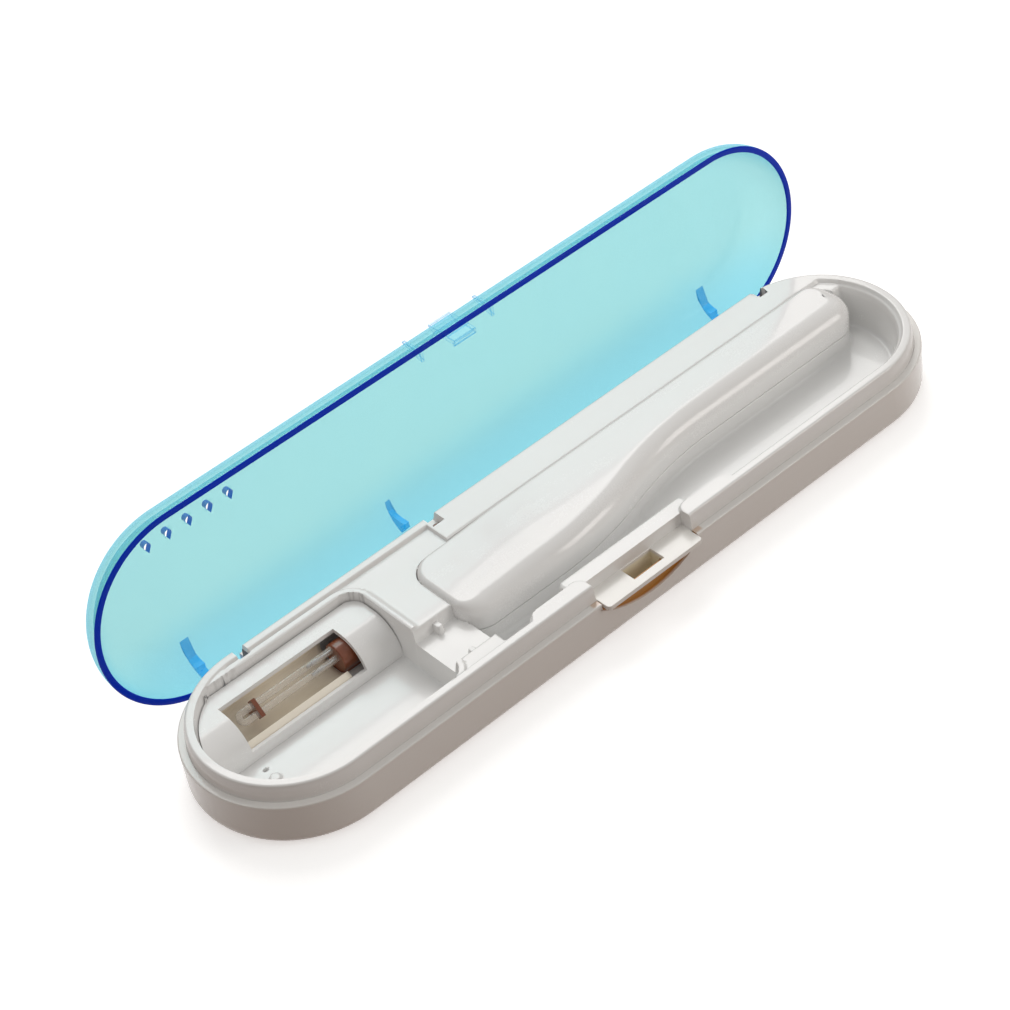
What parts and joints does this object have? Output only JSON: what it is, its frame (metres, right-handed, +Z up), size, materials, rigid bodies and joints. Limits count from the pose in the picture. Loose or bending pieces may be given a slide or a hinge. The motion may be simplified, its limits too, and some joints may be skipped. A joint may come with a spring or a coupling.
{
  "type": "uv toothbrush sterilizer case",
  "caption": "Long round-ended travel case with a clear hinged lid, moulded tray, ultraviolet lamp bay, battery cover and front latch button.",
  "frame": {"origin": "middle of the flat underside", "axes": "+X along the case away from the lamp bay, +Y towards the hinge side, +Z up"},
  "size_m": [0.215, 0.0692, 0.0531],
  "materials": {
    "white_plastic": "glossy warm white moulded plastic",
    "aqua_plastic": "clear aqua moulded plastic",
    "lamp_glass": "clear thin glass",
    "reflector_metal": "bright rolled sheet",
    "brown_plastic": "dark red-brown",
    "black_plastic": "black moulded",
    "steel": "bright nickel plated",
    "board_green": "green lacquered board",
    "ferrite": "dark grey ferrite",
    "copper": "enamelled copper wire",
    "capacitor_sleeve": "dark blue sleeve",
    "cell_metal": "plain dark grey sleeve",
    "lead_rubber": "red lead sleeve"
  },
  "bodies": {
    "base": {"lower_shell": "white_plastic", "inner_tray": "white_plastic", "lamp_housing": "white_plastic", "lamp_tube": "lamp_glass", "reflector": "reflector_metal", "lamp_socket": "brown_plastic", "lamp_clip": "black_plastic", "hinge_pin_left": "steel", "hinge_pin_right": "steel", "latch_springs": "steel", "contact_spring": "steel", "contact_plate_left": "steel", "contact_plate_right": "steel", "switch_spring": "steel", "case_screws": "steel", "board_screws": "steel", "circuit_board": "board_green", "transformer_core": "ferrite", "transformer_winding": "copper", "capacitor": "capacitor_sleeve", "transistor": "black_plastic", "switch_body": "black_plastic", "cell_left": "cell_metal", "cell_right": "cell_metal", "lamp_leads": "lead_rubber", "battery_lead_short": "lead_rubber", "battery_lead_long": "lead_rubber"},
    "lid_body": {"lid": "aqua_plastic"},
    "latch_body": {"latch_button": "white_plastic"},
    "plunger_body": {"switch_plunger": "brown_plastic"},
    "cover_body": {"battery_cover": "white_plastic"}
  },
  "joints": [
    {"name": "lid_hinge", "type": "hinge", "parent": "base", "child": "lid_body", "pos_m": [0, 0.0228, 0.0054], "axis": [-1, 0, 0], "range_deg": [-93, 0]},
    {"name": "latch_press", "type": "slide", "parent": "base", "child": "latch_body", "axis": [0, 1, 0], "range_m": [0, 0.0013], "stiffness_N_per_m": 300, "springref_m": -0.0005, "deforming": ["latch_springs"]},
    {"name": "switch_press", "type": "slide", "parent": "base", "child": "plunger_body", "axis": [0, 0, -1], "range_m": [0, 0.001], "stiffness_N_per_m": 200, "springref_m": -0.0003, "deforming": ["switch_spring"]},
    {"name": "cover_lift", "type": "slide", "parent": "base", "child": "cover_body", "axis": [0, 0, 1], "range_m": [0, 0.02]}
  ]
}
